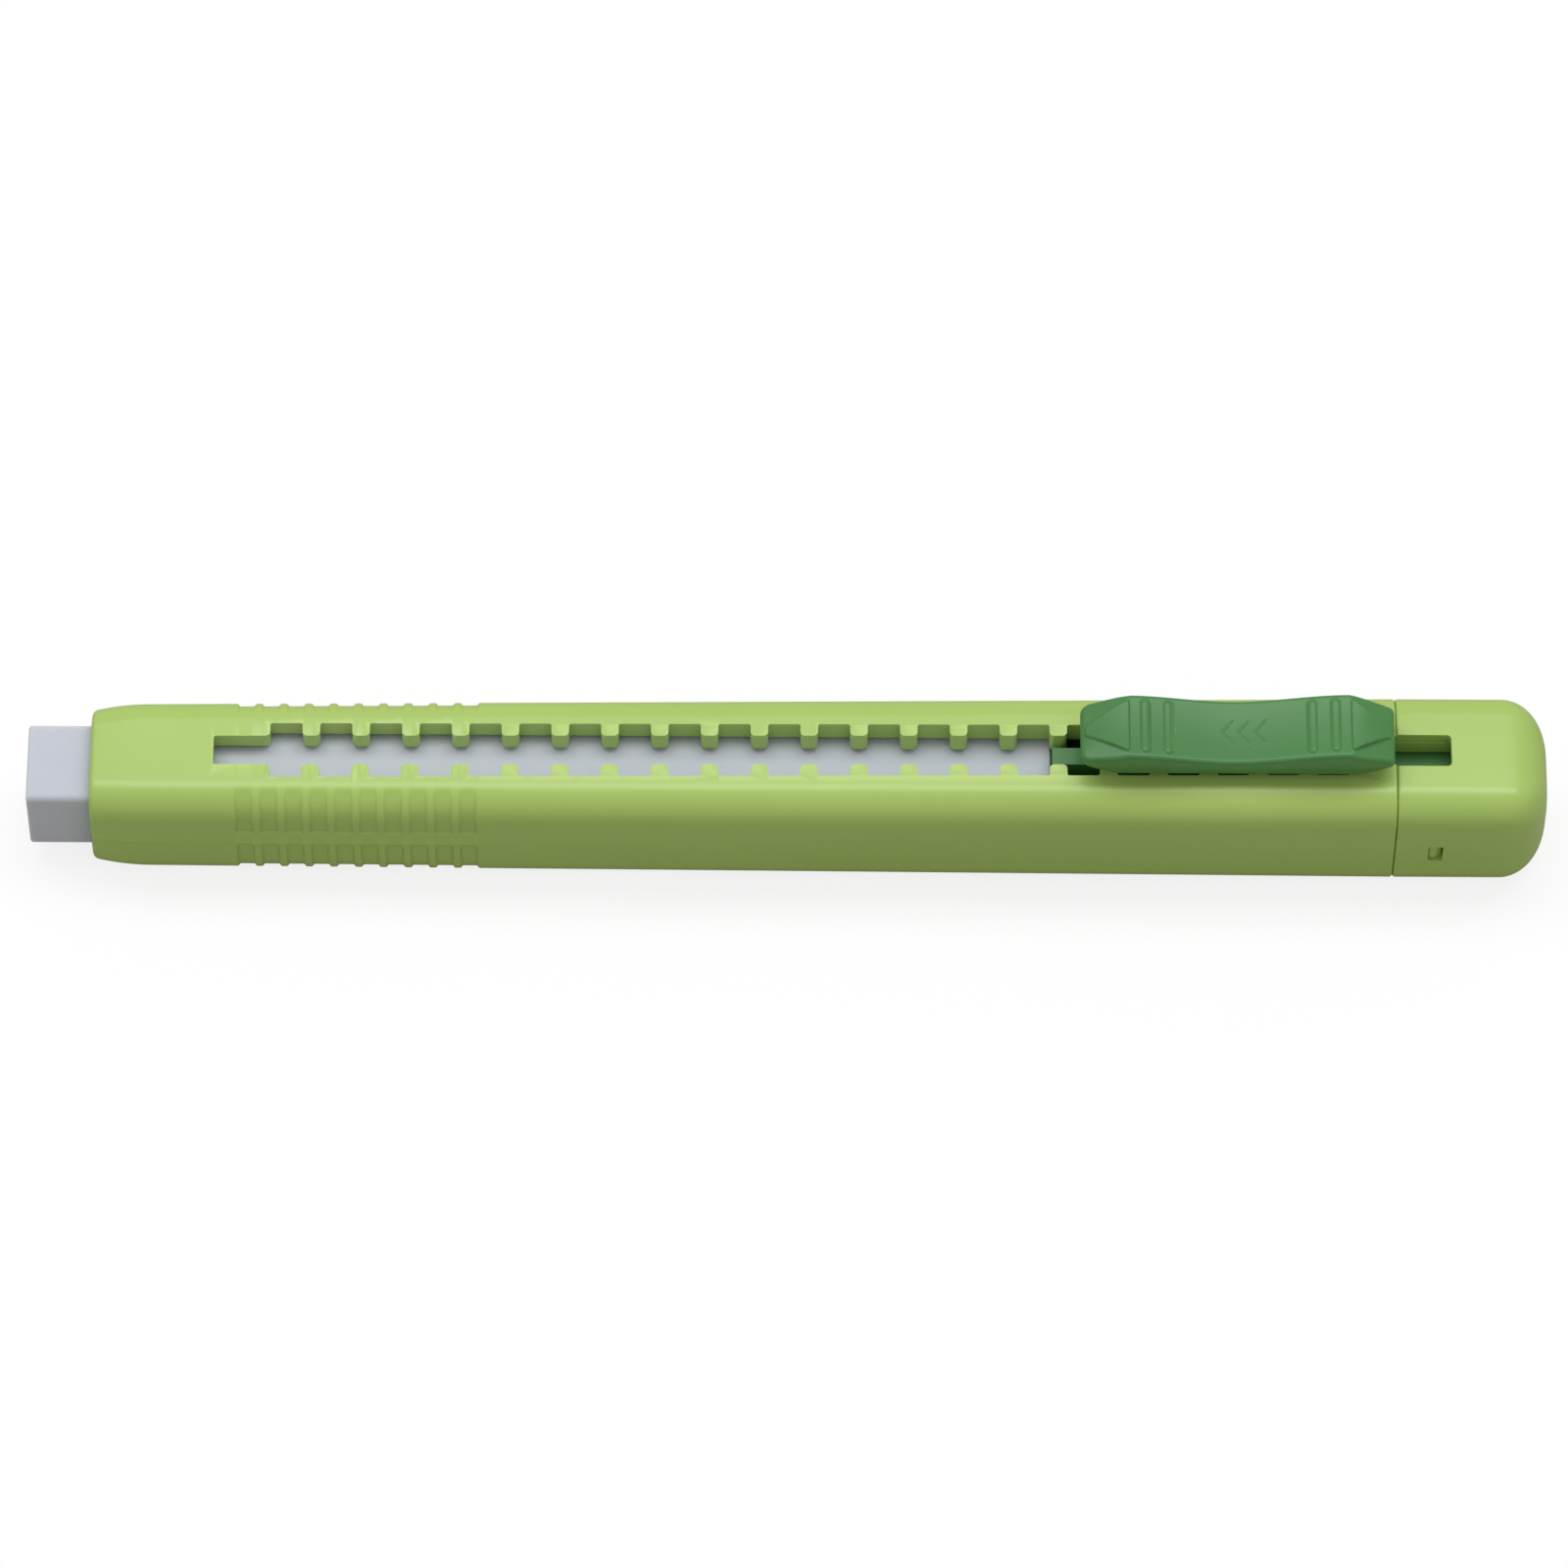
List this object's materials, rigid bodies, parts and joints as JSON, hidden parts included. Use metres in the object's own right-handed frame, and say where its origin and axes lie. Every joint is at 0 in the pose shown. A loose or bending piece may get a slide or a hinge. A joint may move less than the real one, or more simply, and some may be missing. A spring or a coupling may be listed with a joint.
{
  "type": "eraser stick",
  "caption": "Square click eraser stick: tapered barrel with a toothed slot and ribbed grip, thumb button on a sliding holder, square vinyl eraser and snapped-on end cap.",
  "frame": {"origin": "middle of the stick's length and width, on the flat back face that it lies on", "axes": "+X from the eraser's tip to the end cap, +Z out of the slotted face, towards the thumb button"},
  "size_m": [0.1182, 0.0114, 0.0154],
  "materials": {
    "barrel_plastic": "glossy light green moulding",
    "slider_plastic": "semi-gloss mid green moulding",
    "eraser_vinyl": "matte white vinyl"
  },
  "bodies": {
    "barrel_body": {"barrel": "barrel_plastic", "end_cap": "barrel_plastic"},
    "holder_body": {"eraser_holder": "slider_plastic", "lock_spring": "slider_plastic"},
    "button_body": {"thumb_button": "slider_plastic"},
    "eraser_body": {"eraser": "eraser_vinyl"}
  },
  "joints": [
    {"name": "holder_slide", "type": "slide", "parent": "barrel_body", "child": "holder_body", "axis": [-1, 0, 0], "range_m": [0, 0.06192], "deforming": ["lock_spring"]},
    {"name": "button_press", "type": "slide", "parent": "holder_body", "child": "button_body", "axis": [0, 0, -1], "range_m": [0, 0.0009], "stiffness_N_per_m": 2500, "springref_m": -0.0004, "deforming": ["lock_spring"]},
    {"name": "eraser_pull", "type": "slide", "parent": "holder_body", "child": "eraser_body", "axis": [-1, 0, 0], "range_m": [0, 0.008]}
  ]
}
